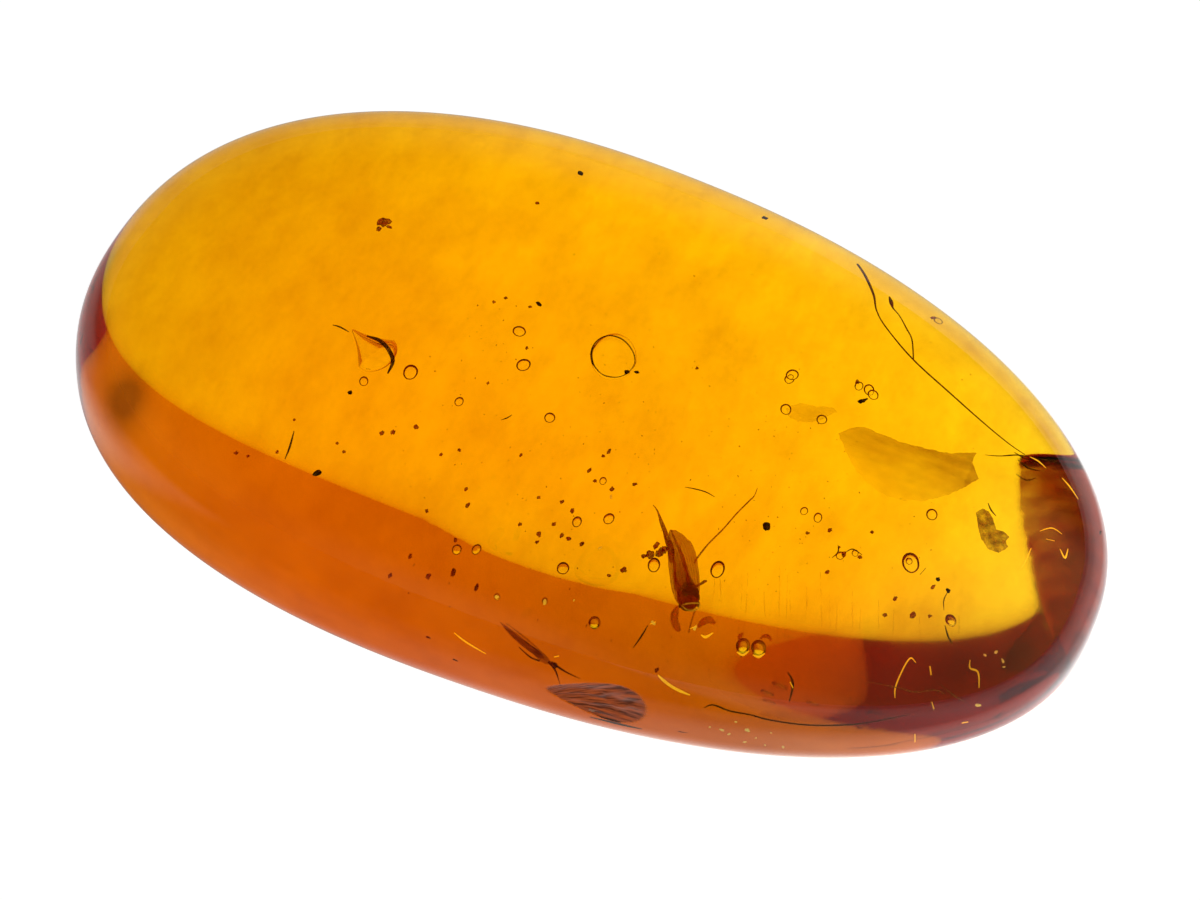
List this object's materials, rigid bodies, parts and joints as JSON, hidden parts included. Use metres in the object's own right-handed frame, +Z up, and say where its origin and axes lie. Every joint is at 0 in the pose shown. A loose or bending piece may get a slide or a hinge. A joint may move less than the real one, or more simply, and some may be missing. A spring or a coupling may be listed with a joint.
{
  "type": "insect in amber",
  "caption": "Polished pebble of clear honey-coloured amber with small insects, a leaf scrap, a bark flake and a plant fibre sealed inside.",
  "frame": {"origin": "centre of the bounding box, on the surface that the pebble rests on", "axes": "+Z up from the resting flat, +X along the pebble from its thick end to its thin end, -Y towards the chipped side"},
  "size_m": [0.046, 0.0272, 0.0127],
  "materials": {
    "amber": "polished",
    "insect_brown": "satin",
    "gnat_brown": "satin",
    "leaf_brown": "matte",
    "bark_brown": "matte",
    "fibre_brown": "matte"
  },
  "bodies": {
    "root": {"amber_lower": "amber", "amber_upper": "amber", "insect": "insect_brown", "gnat": "gnat_brown", "leaf_fragment": "leaf_brown", "bark_flake": "bark_brown", "plant_fibre": "fibre_brown"}
  },
  "joints": []
}
